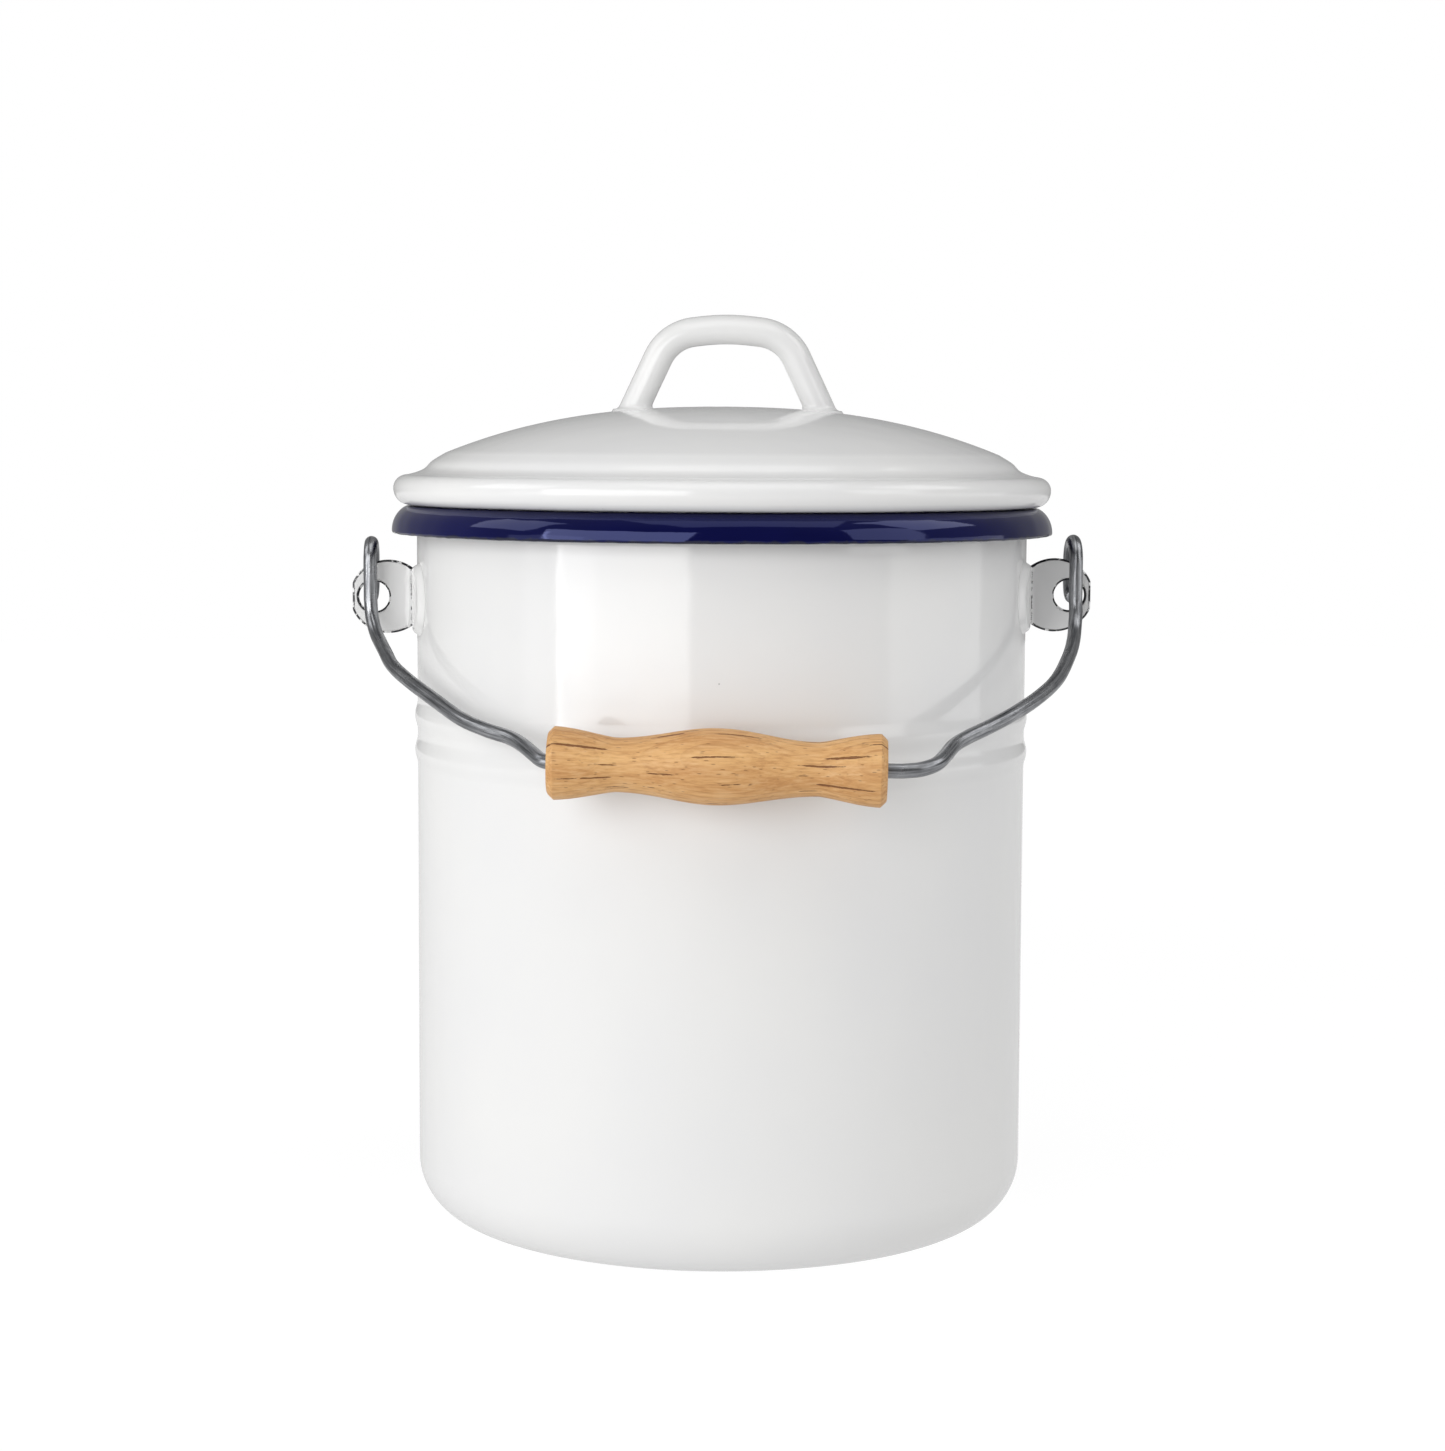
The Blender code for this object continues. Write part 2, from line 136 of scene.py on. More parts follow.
# How much higher or lower than its plane the wire runs at some places across the can: x, lift.
ARM_LEAN = ((-104.2, -0.7), (-60.0, 0.1), (-46.0, 0.5), (46.0, -0.15), (104.2, 0.7))
RIGHT_ARM = (
    (104.6, 0.0), (104.5, 6.0), (102.8, 18.0), (100.0, 30.6), (95.1, 46.6), (88.4, 59.5),
    (80.6, 70.6), (73.7, 78.8), (66.9, 86.1), (62.9, 91.6), (60.2, 98.0), (57.4, 103.5),
    (53.0, 106.8), (48.0, 107.75),
)
LEFT_ARM = (
    (-103.7, 0.0), (-103.0, 6.0), (-100.1, 16.0), (-97.6, 24.5), (-94.2, 35.5), (-88.1, 47.5),
    (-79.0, 62.5), (-71.5, 74.4), (-64.2, 82.1), (-57.6, 87.4), (-53.6, 92.6), (-50.2, 98.9),
    (-47.5, 103.45), (-44.2, 105.05),
)

GRIP_LENGTH = 90.2 * MM
GRIP_CENTRE = (-0.9 * MM, 106.35 * MM)
GRIP_TILT = math.radians(1.65)
GRIP_END = 9.8 * MM
GRIP_NECK = 7.25 * MM
GRIP_NECK_AT = 26.9 * MM
GRIP_BULGE = 10.2 * MM
GRIP_CHAMFER = 1.7 * MM
GRIP_BORE = 2.4 * MM
GRIP_MOUTH = 3.5 * MM
GRIP_MOUTH_DEPTH = 5.0 * MM
GRIP_MOUTH_EDGE = 0.4 * MM
GRIP_ROUNDING = 0.2 * MM
GRIP_SHARP = math.radians(28)

CAMERA_PLACE = (0.0, -0.90268, 0.23109)
CAMERA_YAW, CAMERA_PITCH, CAMERA_ROLL = (math.radians(turn) for turn in (0.03, 5.41, 0.28))
CAMERA_LENS = 75.38018  # in millimetres, as is the film width
FILM_WIDTH = 36
LIGHTS_AIM = (0, 0, 0.13)


# Outlines


def arc(centre, radius, start, end, steps):
    """Points on an arc, or on part of an ellipse where radius is a pair, in degrees."""
    across, along = radius if isinstance(radius, tuple) else (radius, radius)
    points = []
    for step in range(steps + 1):
        angle = math.radians(start + (end - start) * step / steps)
        points.append((centre[0] + across * math.cos(angle), centre[1] + along * math.sin(angle)))
    return points


def straight(start, end, steps):
    """Points from start to end, without the end itself."""
    return [
        tuple(a + (b - a) * step / steps for a, b in zip(start, end)) for step in range(steps)
    ]


def smooth_path(points, steps):
    """A Catmull-Rom curve through the points."""
    ends = [Vector(point) for point in points]
    ends = [2 * ends[0] - ends[1], *ends, 2 * ends[-1] - ends[-2]]
    path = []
    for a, b, c, d in zip(ends, ends[1:], ends[2:], ends[3:]):
        for step in range(steps):
            t = step / steps
            path.append(
                0.5 * (2 * b + (c - a) * t + (2 * a - 5 * b + 4 * c - d) * t**2
                       + (3 * b - a - 3 * c + d) * t**3)
            )
    path.append(ends[-2])
    return path


def rounded_path(corners, radii, steps):
    """A path through the corners, with each inner corner replaced by an arc of its radius."""
    path = [corners[0]]
    for before, corner, after, radius in zip(corners, corners[1:], corners[2:], radii):
        corner = Vector(corner)
        back = (Vector(before) - corner).normalized()
        ahead = (Vector(after) - corner).normalized()
        half = back.angle(ahead) / 2
        centre = corner + (back + ahead).normalized() * radius / math.sin(half)
        start = corner + back * radius / math.tan(half) - centre
        turn = (corner + ahead * radius / math.tan(half) - centre).angle_signed(start)
        for step in range(steps + 1):
            angle = turn * step / steps
            cos, sin = math.cos(angle), math.sin(angle)
            path.append((
                centre.x + start.x * cos - start.y * sin,
                centre.y + start.x * sin + start.y * cos,
            ))
    path.append(corners[-1])
    return path


def path_normals(path):
    """Unit vectors on the left of a 2D path."""
    normals = []
    for i in range(len(path)):
        before, after = path[max(i - 1, 0)], path[min(i + 1, len(path) - 1)]
        along = Vector((after[0] - before[0], after[1] - before[1])).normalized()
        normals.append(Vector((-along.y, along.x)))
    return normals


def sheet_section(outer, thickness):
    """Outline of sheet metal under its outer face, with half-round lips at any end off the axis."""
    normals = path_normals(outer)
    inner = [
        (point[0] - normal.x * thickness, point[1] - normal.y * thickness)
        for point, normal in zip(outer, normals)
    ]
    for end in (0, -1):
        if outer[end][0] < ON_AXIS:
            inner[end] = (0.0, outer[end][1] + thickness * (1 if outer[end][1] < 0.1 else -1))
    outline = list(outer)
    if outer[-1][0] > ON_AXIS:
        outline += lip(outer[-1], inner[-1], normals[-1], 1)
    outline += reversed(inner)
    if outer[0][0] > ON_AXIS:
        outline += lip(inner[0], outer[0], normals[0], -1)
    return outline


def lip(start, end, normal, side, steps=8):
    """Half circle from start to end, on the side that the sheet ends."""
    centre = (Vector(start) + Vector(end)) / 2
    radius = (Vector(start) - Vector(end)).length / 2
    outward = Vector((normal.y, -normal.x)) * side
    away = (Vector(start) - centre).normalized()
    points = []
    for step in range(1, steps):
        angle = math.pi * step / steps
        spot = centre + away * radius * math.cos(angle) + outward * radius * math.sin(angle)
        points.append((spot.x, spot.y))
    return points


# Meshes


def mesh_object(name, points, faces):
    mesh = bpy.data.meshes.new(name)
    mesh.from_pydata(points, [], faces)
    mesh.validate()
    obj = bpy.data.objects.new(name, mesh)
    bpy.context.scene.collection.objects.link(obj)
    mesh.shade_smooth()
    return obj


def turned(name, outline, sides=SIDES, ripple=None):
    """A closed outline of (radius, height) points turned about Z, moved by ripple(x, y, z, r)."""
    points, rings = [], []
    for radius, height in outline:
        if radius < ON_AXIS:
            rings.append([len(points)] * sides)
            points.append((0, 0, height))
            continue
        rings.append(list(range(len(points), len(points) + sides)))
        for step in range(sides):
            angle = 2 * math.pi * step / sides
            x, y = math.cos(angle), math.sin(angle)
            grow, lift = ripple(x, y, height, radius) if ripple else (0, 0)
            points.append(((radius + grow) * x, (radius + grow) * y, height + lift))
    faces = []
    closed = outline[0][0] > ON_AXIS
    pairs = list(zip(rings, rings[1:])) + ([(rings[-1], rings[0])] if closed else [])
    for near, far in pairs:
        for i in range(sides):
            j = (i + 1) % sides
            corners = dict.fromkeys((near[i], far[i], far[j], near[j]))
            if len(corners) > 2:
                faces.append(tuple(corners))
    return mesh_object(name, points, faces)


def skin(name, rings, closed=False):
    """A skin over closed rings of points, capped at both ends unless the rings close up."""
    count = len(rings[0])
    points = [point for ring in rings for point in ring]
    faces = []
    last = len(rings) if closed else len(rings) - 1
    for ring in range(last):
        near, far = ring * count, (ring + 1) % len(rings) * count
        for i in range(count):
            j = (i + 1) % count
            faces.append((near + i, near + j, far + j, far + i))
    if not closed:
        faces.append(tuple(reversed(range(count))))
        faces.append(tuple(range(len(points) - count, len(points))))
    return mesh_object(name, points, faces)


def paint(obj, name, values):
    """Stores one number for each point, which a material reads by name."""
    layer = obj.data.attributes.new(name, "FLOAT", "POINT")
    layer.data.foreach_set("value", values)


def paint_vectors(obj, name, values):
    layer = obj.data.attributes.new(name, "FLOAT_VECTOR", "POINT")
    layer.data.foreach_set("vector", [number for value in values for number in value])


def stand_for(obj, node, body, material):
    """Puts a fine piece in place of a CAD node, on its body."""
    obj.data.materials.append(material)
    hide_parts(node)
    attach(obj, body)


# Materials


class Look:
    """A Principled material that is put together one node at a time."""

    def __init__(self, name, **constants):
        self.material = bpy.data.materials.new(name)
        self.material.use_nodes = True
        self.tree = self.material.node_tree
        self.shader = self.tree.nodes["Principled BSDF"]
        for key, value in constants.items():
            self.shader.inputs[key.replace("_", " ")].default_value = value

    def add(self, kind, inputs=None, **settings):
        node = self.tree.nodes.new(kind)
        for key, value in settings.items():
            setattr(node, key, value)
        for key, value in (inputs or {}).items():
            self.feed(node.inputs[key], value)
        return node

    def feed(self, socket, value):
        if isinstance(value, bpy.types.NodeSocket):
            self.tree.links.new(value, socket)
        else:
            socket.default_value = value

    def set(self, key, value):
        self.feed(self.shader.inputs[key], value)

    def place(self, scale=(1, 1, 1)):
        """Object coordinates, stretched by scale."""
        where = self.add("ShaderNodeTexCoord").outputs["Object"]
        return self.add("ShaderNodeMapping", {"Vector": where, "Scale": scale}).outputs[0]

    def noise(self, vector, scale, detail=2.0, roughness=0.5, distortion=0.0):
        node = self.add("ShaderNodeTexNoise", {
            "Vector": vector, "Scale": scale, "Detail": detail,
            "Roughness": roughness, "Distortion": distortion,
        })
        return node.outputs["Fac"]

    def span(self, value, low, high, to_low=0.0, to_high=1.0):
        node = self.add("ShaderNodeMapRange", {
            "Value": value, "From Min": low, "From Max": high, "To Min": to_low, "To Max": to_high,
        })
        return node.outputs["Result"]

    def math(self, operation, *values):
        inputs = dict(enumerate(values))
        return self.add("ShaderNodeMath", inputs, operation=operation).outputs[0]

    def mix(self, factor, first, second, blend="MIX"):
        node = self.add("ShaderNodeMix", data_type="RGBA", blend_type=blend)
        for socket, value in zip((node.inputs[0], node.inputs[6], node.inputs[7]),
                                 (factor, first, second)):
            self.feed(socket, value)
        return node.outputs[2]

    def bump(self, height, distance):
        node = self.add("ShaderNodeBump", {
            "Height": height, "Distance": distance, "Strength": 1.0,
        })
        self.set("Normal", node.outputs[0])


WHITE = (0.79, 0.79, 0.79, 1)
WARM_WHITE = (0.81, 0.808, 0.80, 1)
# burnt black, also used for the painted shade line along the ears' folds
SCORCH_AND_SHADE = (0.018, 0.018, 0.022, 1)
BLUE = (0.0014, 0.0018, 0.036, 1)
BRIGHT_BLUE = (0.0024, 0.0028, 0.052, 1)
BLUE_SHEEN = (0.42, 0.48, 1.0, 1)
DARK_STEEL = (0.11, 0.114, 0.123, 1)
BRIGHT_STEEL = (0.46, 0.468, 0.485, 1)
OXIDE = (0.09, 0.094, 0.103, 1)
DEEP_WOOD = (0.56, 0.28, 0.098, 1)
PALE_WOOD = (0.76, 0.45, 0.185, 1)
LATE_WOOD = (0.36, 0.155, 0.05, 1)
DARK_FIBRE = (0.37, 0.165, 0.055, 1)
PALE_FIBRE = (0.82, 0.56, 0.31, 1)
OPEN_PORE = (0.17, 0.056, 0.012, 1)


def enamel_surface(look, tint, other_tint, gloss=(0.07, 0.13)):
    """Fired enamel: faint tone drift, pinholes, and a surface that is slightly uneven."""
    where = look.place()
    drift = look.span(look.noise(where, 18, 3), 0.35, 0.65)
    tone = look.mix(drift, tint, other_tint)
    cells = look.add("ShaderNodeTexVoronoi", {"Vector": where, "Scale": 95.0, "Randomness": 1.0})
    hole = look.span(cells.outputs["Distance"], 0.012, 0.026, 1.0, 0.0)
    chosen = look.add("ShaderNodeSeparateColor", {"Color": cells.outputs["Color"]}).outputs[0]
    speck = look.math("MULTIPLY", hole, look.span(chosen, 0.9, 0.92))
    tone = look.mix(look.math("MULTIPLY", speck, 0.75), tone, SCORCH_AND_SHADE)
    ripple = look.noise(where, 70, 1)
    grain = look.noise(where, 900, 2)
    height = look.math("ADD", ripple, look.math("MULTIPLY", grain, 0.05))
    height = look.math("SUBTRACT", height, look.math("MULTIPLY", speck, 0.6))
    look.bump(height, 0.00012)
    look.set("Roughness", look.span(grain, 0.3, 0.7, *gloss))
    return where, tone


def white_enamel():
    look = Look("white_enamel", IOR=1.5)
    _, tone = enamel_surface(look, WHITE, WARM_WHITE)
    look.set("Base Color", tone)
    return look.material


def edged_enamel():
    """White enamel that is burnt off along the edges marked on the mesh, with a painted shade line
    along the ears' folds marked the same way.
    """
    look = Look("white_enamel_burnt_edges_fold_shade", IOR=1.5)
    where, tone = enamel_surface(look, WHITE, WARM_WHITE)
    edge = look.add("ShaderNodeAttribute", attribute_name="edge").outputs["Fac"]
    broken = look.span(look.noise(where, 520, 3), 0.36, 0.52)
    # the mask holds the burnt edges and the painted shade line along the ears' folds
    burnt_edges_and_fold_shade = look.span(look.math("MULTIPLY", edge, broken), 0.35, 0.6)
    look.set("Base Color", look.mix(burnt_edges_and_fold_shade, tone, SCORCH_AND_SHADE))
    return look.material


def blue_enamel():
    """Dark blue dip, black along its ragged lower edge."""
    look = Look("blue_enamel", IOR=1.52, Specular_Tint=BLUE_SHEEN)
    where, tone = enamel_surface(look, BLUE, BRIGHT_BLUE, gloss=(0.045, 0.075))
    height = look.add("ShaderNodeSeparateXYZ", {"Vector": where}).outputs["Z"]
    ragged = look.math("MULTIPLY", look.span(look.noise(where, 260, 4), 0.3, 0.7), 0.0011)
    edge = look.span(look.math("SUBTRACT", height, ragged), RIM_EDGE - 0.0008, RIM_EDGE - 0.0003,
                     1.0, 0.0)
    look.set("Base Color", look.mix(edge, tone, SCORCH_AND_SHADE))
    return look.material


def wire_steel():
    """Bare drawn wire: die marks along it, mottled with dull oxide."""
    look = Look("drawn_steel_wire", Metallic=1.0)
    along = look.add("ShaderNodeAttribute", attribute_name="drawn").outputs["Vector"]
    where = look.place()
    marks = look.noise(along, 2300, 3, 0.6)
    patches = look.noise(where, 140, 4, 0.65)
    tone = look.mix(look.span(marks, 0.3, 0.7), DARK_STEEL, BRIGHT_STEEL)
    tone = look.mix(look.span(patches, 0.42, 0.68, 0.0, 0.35), tone, OXIDE)
    look.set("Base Color", tone)
    look.set("Roughness", look.span(patches, 0.3, 0.7, 0.24, 0.36))
    look.bump(marks, 0.00008)
    return look.material


def wood_sway(look):
    """How far the grain wanders aside from a straight line."""
    sway = look.add("ShaderNodeTexNoise", {
        "Vector": look.place((1, 1, 0.4)), "Scale": 60.0, "Detail": 1.0,
    }).outputs["Color"]
    sway = look.add("ShaderNodeVectorMath", {0: sway, 1: (0.5, 0.5, 0.5)}, operation="SUBTRACT")
    return look.add("ShaderNodeVectorMath", {0: sway.outputs[0], 1: (0.0022, 0.0022, 0)},
                    operation="MULTIPLY").outputs[0]


def wood_layers(look, sway):
    """Broad drift of tone with growth layers, which show more towards the grip's sides."""
    stretched = look.place((1, 1, 0.06))
    swayed = look.add("ShaderNodeVectorMath", {0: stretched, 1: sway}, operation="ADD").outputs[0]
    split = look.add("ShaderNodeSeparateXYZ", {"Vector": swayed})
    depth = look.math("ADD", split.outputs["X"], look.math("MULTIPLY", split.outputs["Y"], -0.35))
    layer = look.math("FRACT", look.math("MULTIPLY", depth, 520))
    late = look.math("MULTIPLY", look.span(layer, 0.7, 0.97), look.span(layer, 1.0, 0.97))
    broad = look.noise(stretched, 170, 3, 0.55)
    tone = look.mix(look.span(broad, 0.32, 0.68), DEEP_WOOD, PALE_WOOD)
    aside = look.span(look.math("ABSOLUTE", split.outputs["Y"]), 0.004, 0.008, 0.14, 0.5)
    return look.mix(look.math("MULTIPLY", late, aside), tone, LATE_WOOD)


def wood_pores(look, sway):
    """Long open pores, laid out by angle round the axis and by length, with short fine ticks."""
    axes = look.add("ShaderNodeSeparateXYZ", {"Vector": look.place()}).outputs
    angle = look.math("ARCTAN2", axes["Y"], look.math("MULTIPLY", axes["X"], -1))
    strip = look.add("ShaderNodeCombineXYZ", {
        "X": look.math("MULTIPLY", angle, 0.0085), "Y": look.math("MULTIPLY", axes["Z"], 0.045),
    }).outputs[0]
    strip = look.add("ShaderNodeVectorMath", {0: strip, 1: sway}, operation="ADD").outputs[0]
    pores = look.add("ShaderNodeTexVoronoi", {"Vector": strip, "Scale": 480.0},
                     voronoi_dimensions="2D")
    wide = look.add("ShaderNodeSeparateColor", {"Color": pores.outputs["Color"]}).outputs[0]
    width = look.span(wide, 0.2, 1.0, 0.02, 0.16)
    ragged = look.span(look.noise(look.place((1, 1, 0.25)), 1700, 3, 0.6), 0.3, 0.7, -0.05, 0.05)
    pore = look.math("SUBTRACT", look.math("ADD", pores.outputs["Distance"], ragged), width)
    pore = look.math("MULTIPLY", look.span(pore, -0.02, 0.01, 1.0, 0.0), look.span(wide, 0.2, 0.25))
    ticks = look.add("ShaderNodeTexVoronoi", {"Vector": look.place((1, 1, 0.16)), "Scale": 1300.0})
    tick = look.span(ticks.outputs["Distance"], 0.1, 0.17, 0.5, 0.0)
    return look.math("MAXIMUM", pore, tick)


def grip_wood():
    """Light ring-porous wood, turned: growth layers, long open pores and a fine short grain.

    The grip's own Z runs along the grain, and its X goes through the growth layers.
    """
    look = Look("turned_oak", IOR=1.45)
    sway = wood_sway(look)
    tone = wood_layers(look, sway)
    fibres = look.noise(look.place((1, 1, 0.1)), 1500, 3, 0.65)
    tone = look.mix(look.span(fibres, 0.5, 0.72, 0.0, 0.5), tone, DARK_FIBRE)
    tone = look.mix(look.span(fibres, 0.5, 0.3, 0.0, 0.35), tone, PALE_FIBRE)
    dark = wood_pores(look, sway)
    look.set("Base Color", look.mix(look.math("MULTIPLY", dark, 0.9), tone, OPEN_PORE))
    look.set("Roughness", look.span(fibres, 0.3, 0.7, 0.45, 0.62))
    look.bump(look.math("SUBTRACT", look.math("MULTIPLY", fibres, 0.3), dark), 0.00025)
    return look.material


# Pieces


def wall_ripple(x, y, z, radius):
    """Slow unevenness of the drawn wall, which bends its reflections a little."""
    drift = noise.noise(Vector((x * 2.2, y * 2.2, z * 14)))
    return (drift * 0.10 * MM if radius > 60 * MM else 0, 0)


def rim_ripple(x, y, z, radius):
    """The dipped enamel of the rim is thicker and thinner along its length."""
    outer = min(max((radius - RIM_CREST) / (3 * MM), 0), 1)
    swell = noise.noise(Vector((x * 5, y * 5, z * 90)))
    swell += 0.6 * noise.noise(Vector((x * 13, y * 13, z * 160 + 7)))
    edge = 0.12 * MM * noise.noise(Vector((x * 70, y * 70, 3))) if z < RIM_EDGE + MM else 0
    return (outer * swell * 0.22 * MM, edge)


def lid_ripple(x, y, z, radius):
    outer = min(max((radius - 60 * MM) / (25 * MM), 0), 1)
    swell = noise.noise(Vector((x * 4 + 9, y * 4, z * 60)))
    return (outer * swell * 0.10 * MM, 0.06 * MM * noise.noise(Vector((x * 3, y * 3, radius * 40))))


def bead_points(centre, steps):
    points = []
    for step in range(-steps, steps + 1):
        offset = step / steps
        bulge = BEAD_HEIGHT * math.cos(offset * math.pi / 2) ** 2
        points.append((BODY_RADIUS + bulge, centre - offset * BEAD_HALF_WIDTH))
    return points


def body_shell():
    first, second = (bead_points(centre, 9) for centre in BEAD_CENTRES)
    corner = (BODY_RADIUS - BASE_CORNER, BASE_CORNER)
    round_base = arc(corner, BASE_CORNER, 0, -90, 18)
    outer = straight((BODY_RADIUS, BODY_TOP), first[0], 10) + first
    outer += second + straight(second[-1], round_base[0], 22)[1:] + round_base
    outer += straight(round_base[-1], (0, 0), 8)[1:] + [(0, 0)]
    return turned("can_shell", sheet_section(outer, SHEET), ripple=wall_ripple)


def rolled_rim():
    inner = BODY_RADIUS - SHEET
    outer = straight((inner, BODY_TOP + RIM_SEAT), (inner, RIM_TOP - RIM_LIP), 4)
    outer += arc((inner + RIM_LIP, RIM_TOP - RIM_LIP), RIM_LIP, 180, 90, 8)
    size = (RIM_RADIUS - RIM_CREST, RIM_TOP - RIM_EDGE)
    outer += arc((RIM_CREST, RIM_EDGE), size, 90, 0, 20)
    return turned("blue_rim", sheet_section(outer, SHEET), ripple=rim_ripple)


def dome_height(radius):
    """Height of the lid's outer face at this distance from its axis."""
    return DOME_TOP - DOME_SAG * (radius / DOME_RADIUS) ** DOME_POWER


def lid_shell():
    dome = []
    for step in range(41):
        radius = DOME_RADIUS * (step / 40) ** 0.8
        dome.append((radius, dome_height(radius)))
    roll_top = (LID_ROLL_CENTRE[0], LID_ROLL_CENTRE[1] + LID_ROLL_RISE)
    slope = [(STEP_START, dome_height(STEP_START)), *LID_STEP, LID_HOLLOW, roll_top]
    outer = [point for point in dome if point[0] < DOME_END]
    outer += [tuple(point[:2]) for point in smooth_path([(*p, 0) for p in slope], 6)]
    outer += arc(LID_ROLL_CENTRE, (LID_ROLL_WIDTH, LID_ROLL_RISE), 90, 0, 10)[1:]
    outer += arc(LID_ROLL_CENTRE, (LID_ROLL_WIDTH, LID_ROLL_DROP), 0, -105, 12)[1:]
    return turned("lid_cover", sheet_section(outer, SHEET), ripple=lid_ripple)


def lid_collar():
    hem = (COLLAR_RADIUS - COLLAR_HEM, COLLAR_LOW + COLLAR_HEM)
    outer = straight((COLLAR_RADIUS, COLLAR_HIGH), (COLLAR_RADIUS, hem[1]), 8)
    outer += arc(hem, COLLAR_HEM, 0, -90, 8)
    return turned("lid_collar_ring", sheet_section(outer, COLLAR_SHEET))


def handle_section():
    """Rolled tube with an open seam on its inner side: (across, outwards, flare) points."""
    start, end = -90 + HANDLE_SLOT, 270 - HANDLE_SLOT
    size = (HANDLE_HALF_WIDTH, HANDLE_HALF_DEPTH)
    outer = [(*point, 1) for point in arc((0, 0), size, start, end, 36)]
    inner_size = tuple(half - HANDLE_SHEET for half in size)
    inner = [(*point, 0) for point in arc((0, 0), inner_size, end, start, 24)]
    return outer + inner


def handle_ring(centre, along, section, flare):
    """One ring of the handle, with its outer face swelled by flare for each point."""
    out = Vector((-along.y, along.x))
    ring = []
    for (across, outward, outside), swell in zip(section, flare):
        if outside:
            spread = Vector((across / HANDLE_HALF_WIDTH**2, outward / HANDLE_HALF_DEPTH**2))
            spread = spread.normalized() * swell
            across, outward = across + spread.x, outward + spread.y
        spot = centre + out * outward
        ring.append(Vector((spot.x + HANDLE_SHIFT, across, spot.y)))
    return ring


def foot_rings(top, along, section):
    """Rings down a straight leg, each rail ending where it meets the dome in a fillet."""
    plain = handle_ring(top, along, section, [0] * len(section))
    lengths = []
    for spot in plain:
        length = 0.0
        for _ in range(12):
            here = spot + Vector((along.x, 0, along.y)) * length
            length += here.z - dome_height(math.hypot(here.x, here.y))
        lengths.append(length)
    rings = []
    for step in range(1, FOOT_STEPS + 1):
        eased = math.sin(step / FOOT_STEPS * math.pi / 2)
        left = [length * (1 - eased) for length in lengths]
        flare = []
        for distance in left:
            near = max(FOOT_FILLET - distance, 0)
            flare.append(FOOT_FILLET - math.sqrt(FOOT_FILLET**2 - near**2))
        ring = handle_ring(top, along, section, flare)
        rings.append([
            spot + Vector((along.x, 0, along.y)) * (length - distance)
            for spot, length, distance in zip(ring, lengths, left)
        ])
    for spot in rings[-1]:
        spot.z = dome_height(math.hypot(spot.x, spot.y)) - FOOT_SINK
    return rings


def lid_handle():
    crown = (0, HANDLE_CROWN_Z)
    left = [(-x, z) for x, z in (HANDLE_FOOT, HANDLE_SHOULDER)]
    path = rounded_path([*left, crown, HANDLE_SHOULDER, HANDLE_FOOT], HANDLE_RADII, 14)
    path = [Vector(point) for point in path]
    section = handle_section()
    none = [0] * len(section)
    rings = []
    for i in range(1, len(path) - 1):
        along = (path[i + 1] - path[i - 1]).normalized()
        if i == 1:
            along = (path[1] - path[0]).normalized()
        if i == len(path) - 2:
            along = (path[-1] - path[-2]).normalized()
        rings.append(handle_ring(path[i], along, section, none))
    right_foot = foot_rings(path[-2], (path[-1] - path[-2]).normalized(), section)
    left_along = (path[0] - path[1]).normalized()
    mirrored = [(across, -outward, outside) for across, outward, outside in section]
    left_foot = foot_rings(path[1], left_along, mirrored)
    handle = skin("lid_strap_handle", left_foot[::-1] + rings + right_foot)
    handle.data.set_sharp_from_angle(angle=HANDLE_SHARP)
    return handle


# Ears: a flat blank, cut out and then folded


def fold_start():
    """The wall disc's mid radius, and the x at which the lug starts to bend towards it."""
    wall = BODY_RADIUS + EAR_GAP + EAR_SHEET / 2
    return wall, math.sqrt((wall + EAR_BEND) ** 2 - EAR_BEND**2)


def pad_centre():
    """Where the wall disc's centre lies on the flat blank, measured as x is on the lug."""
    wall, fold_x = fold_start()
    lean = math.asin(EAR_BEND / (wall + EAR_BEND))
    bend = EAR_BEND * (math.pi / 2 - lean)
    return fold_x - bend - (EAR_PAD_CENTRE / wall - lean) * wall


def blank_half_height(x):
    """Half the blank's height at x: lug disc, wall disc and the neck that joins them."""
    pad = pad_centre()
    lug_offset = (x - EAR_CENTRE) / EAR_HALF_LENGTH
    lug = EAR_HALF_HEIGHT * math.sqrt(max(0, 1 - lug_offset**2))
    disc = math.sqrt(max(0, EAR_PAD_RADIUS**2 - (x - pad) ** 2))
    if x > EAR_CENTRE + EAR_CUT:
        return 0
    if pad < x < EAR_CENTRE:
        neck = EAR_NECK + 1.0 * MM * min(max((BODY_RADIUS - x) / (9 * MM), 0), 1)
        return max(lug, disc, neck)
    return max(lug, disc)


def blank_reach(angle):
    """Distance from the hole's centre to the blank's edge in this direction."""
    cos, sin = math.cos(angle), abs(math.sin(angle))
    reach, stride = EAR_HOLE_RADIUS, 0.4 * MM
    while stride > 0.001 * MM:
        if sin * (reach + stride) < blank_half_height(EAR_HOLE_X + cos * (reach + stride)):
            reach += stride
        else:
            stride /= 2
    return reach


def folded(x, height, offset):
    """A point of the flat blank on the folded ear; offset runs towards the front and outwards."""
    wall, fold_x = fold_start()
    lean = math.asin(EAR_BEND / (wall + EAR_BEND))
    past = fold_x - x
    bend = EAR_BEND * (math.pi / 2 - lean)
    if past <= 0:
        return (x, -offset, height)
    if past < bend:
        turn = past / EAR_BEND
        radius = EAR_BEND - offset
        return (fold_x - radius * math.sin(turn), -EAR_BEND + radius * math.cos(turn), height)
    angle = lean + (past - bend) / wall
    radius = wall + offset
    return (radius * math.cos(angle), -radius * math.sin(angle), height)


